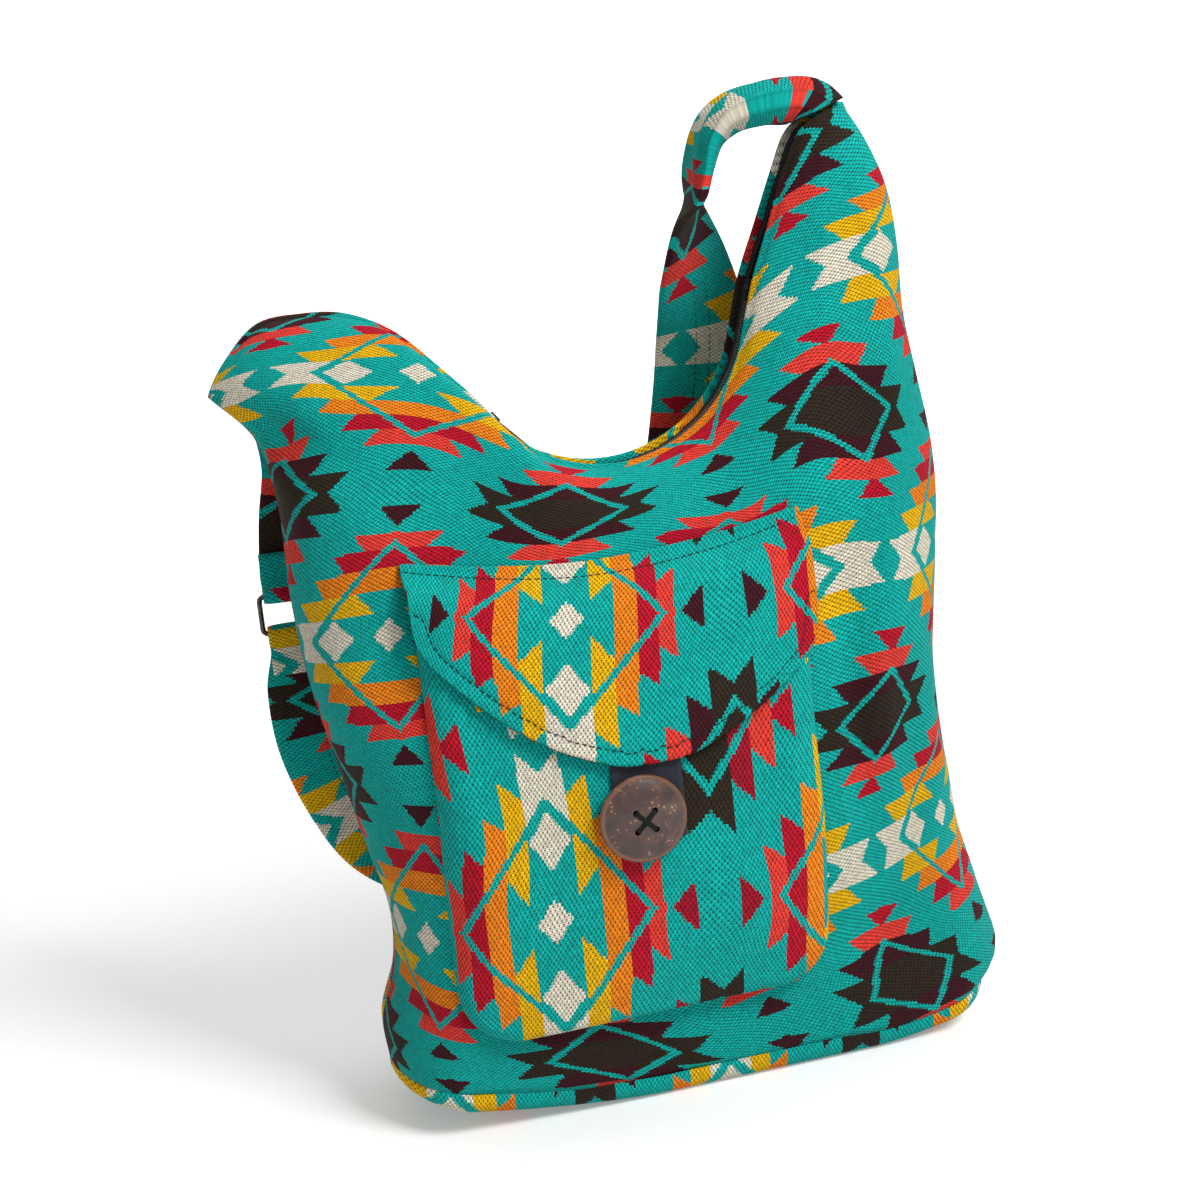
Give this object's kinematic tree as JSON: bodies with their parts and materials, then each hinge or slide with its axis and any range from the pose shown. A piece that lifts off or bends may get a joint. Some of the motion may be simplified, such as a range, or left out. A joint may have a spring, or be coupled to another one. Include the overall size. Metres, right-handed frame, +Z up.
{
  "type": "woven hobo shoulder bag",
  "caption": "Slouchy woven cloth shoulder bag with a flapped front pocket closed by a button, a zipped mouth between two horns and a strap joined by a wire ring.",
  "frame": {"origin": "middle of the flat part of the base, on the surface the bag stands on", "axes": "+Z up; -Y towards the front with the pocket; +X towards the tall horn that the strap starts from"},
  "size_m": [0.405, 0.1816, 0.5421],
  "materials": {
    "woven_jacquard_turquoise": "thick jacquard weave, turquoise ground with a geometric diamond pattern",
    "woven_jacquard_base": "thick jacquard weave",
    "black_lining_cloth": "plain black cotton",
    "charcoal_tab_cloth": "plain charcoal cotton",
    "coconut_shell": "polished coconut shell with tan flecks",
    "black_thread": "waxed thread",
    "dark_bronze_wire": "dark bronze plated wire",
    "black_nylon_coil": "moulded nylon coil"
  },
  "bodies": {
    "bag": {"front_panel": "woven_jacquard_turquoise", "back_panel": "woven_jacquard_turquoise", "base_panel": "woven_jacquard_base", "front_pocket": "woven_jacquard_turquoise", "pocket_flap": "woven_jacquard_turquoise", "flap_lining": "black_lining_cloth", "closure_tab": "charcoal_tab_cloth", "button": "coconut_shell", "button_thread": "black_thread", "strap_long": "woven_jacquard_turquoise", "strap_short": "woven_jacquard_turquoise", "strap_ring": "dark_bronze_wire", "zipper_tape_front": "black_lining_cloth", "zipper_tape_back": "black_lining_cloth", "zipper_coil_front": "black_nylon_coil", "zipper_coil_back": "black_nylon_coil", "zipper_stop_left": "dark_bronze_wire", "zipper_stop_right": "dark_bronze_wire", "lining": "black_lining_cloth", "pocket_lining": "black_lining_cloth"},
    "slider": {"zipper_slider": "dark_bronze_wire"},
    "pull": {"zipper_pull": "dark_bronze_wire"}
  },
  "joints": [
    {"name": "zip_travel", "type": "hinge", "parent": "bag", "child": "slider", "pos_m": [-0.025, 0, 0.43], "axis": [0, -1, 0], "range_deg": [0, 125]},
    {"name": "pull_swing", "type": "hinge", "parent": "slider", "child": "pull", "pos_m": [-0.0865, 0, 0.3819], "axis": [0, -1, 0], "range_deg": [0, 150]}
  ]
}
